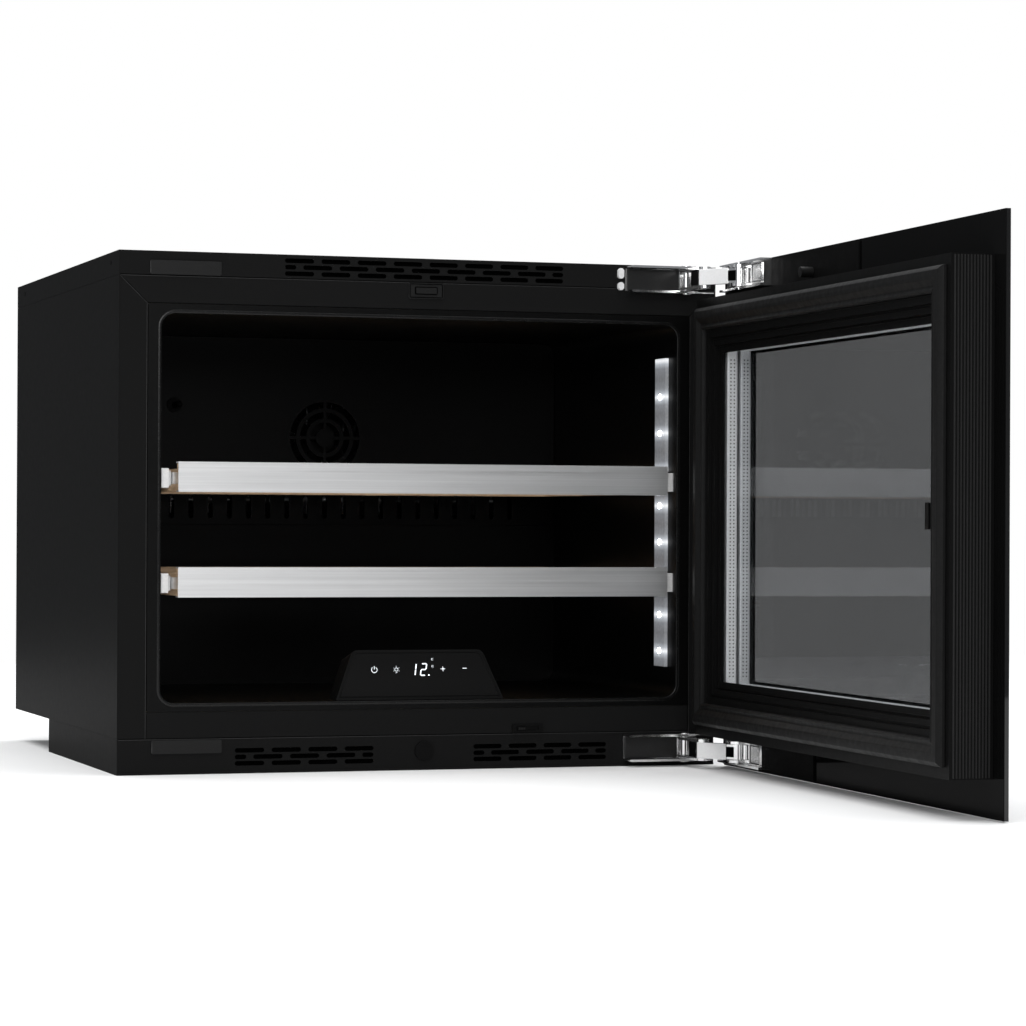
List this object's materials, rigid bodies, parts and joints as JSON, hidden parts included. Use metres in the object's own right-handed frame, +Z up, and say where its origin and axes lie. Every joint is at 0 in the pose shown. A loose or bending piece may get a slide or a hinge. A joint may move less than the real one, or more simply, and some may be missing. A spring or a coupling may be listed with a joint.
{
  "type": "built-in wine cooler",
  "caption": "Compact built-in wine cooler with a black steel cabinet, pull-out beech shelves with steel fronts, vent strips and a glazed door on multi-link hinges.",
  "frame": {"origin": "middle of the cabinet's front face at the floor it stands on", "axes": "+Z up, -Y out of the front towards the user, +X towards the hinge side"},
  "size_m": [0.5538, 1.1148, 0.45],
  "materials": {
    "black_steel": "satin",
    "black_plastic": "matte",
    "liner_plastic": "satin",
    "black_glass": "polished",
    "clear_glass": "polished",
    "brushed_steel": "satin",
    "zinc_steel": "satin",
    "chrome": "polished",
    "aluminium": "satin",
    "beech": "satin",
    "foam": "matte",
    "rubber": "matte",
    "copper": "satin",
    "light_diffuser": "matte"
  },
  "bodies": {
    "cabinet": {"front_frame": "black_steel", "side_panel_left": "black_steel", "side_panel_right": "black_steel", "top_cover": "black_steel", "rear_panel": "black_steel", "bottom_panel": "black_steel", "base_tray": "black_steel", "top_vent_strip": "black_steel", "bottom_vent_strip": "black_steel", "hinge_blank_covers": "black_plastic", "base_cap": "black_plastic", "sensor_plate": "black_plastic", "switch_bezel": "black_plastic", "liner": "liner_plastic", "foam_insulation": "foam", "machine_bulkhead": "zinc_steel", "fan_cover": "liner_plastic", "evaporator": "aluminium", "temperature_probe": "black_plastic", "light_bars": "light_diffuser", "control_panel": "liner_plastic", "touch_glass": "black_glass", "shelf_rails": "zinc_steel", "compressor": "black_steel", "compressor_feet": "rubber", "condenser": "black_steel", "fan_shroud": "black_plastic", "refrigerant_pipes": "copper", "drip_tray": "black_plastic", "electronics_box": "black_plastic", "power_inlet": "black_plastic", "hinge_housings": "chrome", "cabinet_pins": "chrome", "hinge_screws": "zinc_steel"},
    "door": {"door_glass": "black_glass", "door_frame": "black_plastic", "door_gasket": "rubber", "inner_panes": "clear_glass", "glass_spacers": "aluminium", "door_margin_plates": "black_steel", "catch_block": "black_plastic", "door_bumper": "rubber", "hinge_brackets": "chrome", "door_pins": "chrome"},
    "hinge_inner": {"inner_links": "chrome", "elbow_pins": "chrome"},
    "hinge_outer": {"outer_links": "chrome"},
    "upper_runner": {"upper_runner_middles": "zinc_steel"},
    "upper_shelf": {"upper_runner_inners": "zinc_steel", "upper_shelf_front": "brushed_steel", "upper_shelf_frame": "beech"},
    "lower_runner": {"lower_runner_middles": "zinc_steel"},
    "lower_shelf": {"lower_runner_inners": "zinc_steel", "lower_shelf_front": "brushed_steel", "lower_shelf_frame": "beech"},
    "mode_slider": {"mode_switch": "black_plastic"},
    "evaporator_rotor": {"evaporator_fan": "black_plastic"},
    "condenser_rotor": {"condenser_fan": "black_plastic"}
  },
  "joints": [
    {"name": "hinge_cabinet_pivot", "type": "hinge", "parent": "cabinet", "child": "hinge_inner", "pos_m": [0.24, -0.014, 0.22675], "axis": [0, 0, 1], "range_deg": [-96.56, 13.6]},
    {"name": "hinge_elbow_pivot", "type": "hinge", "parent": "hinge_inner", "child": "hinge_outer", "pos_m": [0.24263, -0.05191, 0.22675], "axis": [0, 0, 1], "range_deg": [-17.61, 125.99]},
    {"name": "door_swing", "type": "hinge", "parent": "hinge_outer", "child": "door", "pos_m": [0.26207, -0.08456, 0.22675], "axis": [0, 0, 1], "range_deg": [-117.43, 16.01]},
    {"name": "upper_shelf_slide", "type": "slide", "parent": "upper_runner", "child": "upper_shelf", "axis": [0, -1, 0], "range_m": [0, 0.14]},
    {"name": "upper_runner_slide", "type": "slide", "parent": "cabinet", "child": "upper_runner", "axis": [0, -1, 0], "range_m": [0, 0.141]},
    {"name": "lower_shelf_slide", "type": "slide", "parent": "lower_runner", "child": "lower_shelf", "axis": [0, -1, 0], "range_m": [0, 0.14]},
    {"name": "lower_runner_slide", "type": "slide", "parent": "cabinet", "child": "lower_runner", "axis": [0, -1, 0], "range_m": [0, 0.141]},
    {"name": "mode_switch_slide", "type": "slide", "parent": "cabinet", "child": "mode_slider", "axis": [1, 0, 0], "range_m": [0, 0.011]},
    {"name": "evaporator_fan_spin", "type": "hinge", "parent": "cabinet", "child": "evaporator_rotor", "pos_m": [0, 0.36, 0.3], "axis": [0, 1, 0], "continuous": true},
    {"name": "condenser_fan_spin", "type": "hinge", "parent": "cabinet", "child": "condenser_rotor", "pos_m": [0.02, 0.427, 0.098], "axis": [1, 0, 0], "continuous": true}
  ],
  "couplings": [
    {"joint": "hinge_cabinet_pivot", "follows": "door_swing", "ratio": 0.81805},
    {"joint": "hinge_elbow_pivot", "follows": "door_swing", "ratio": -1.0687},
    {"joint": "upper_runner_slide", "follows": "upper_shelf_slide", "ratio": 1},
    {"joint": "lower_runner_slide", "follows": "lower_shelf_slide", "ratio": 1}
  ]
}
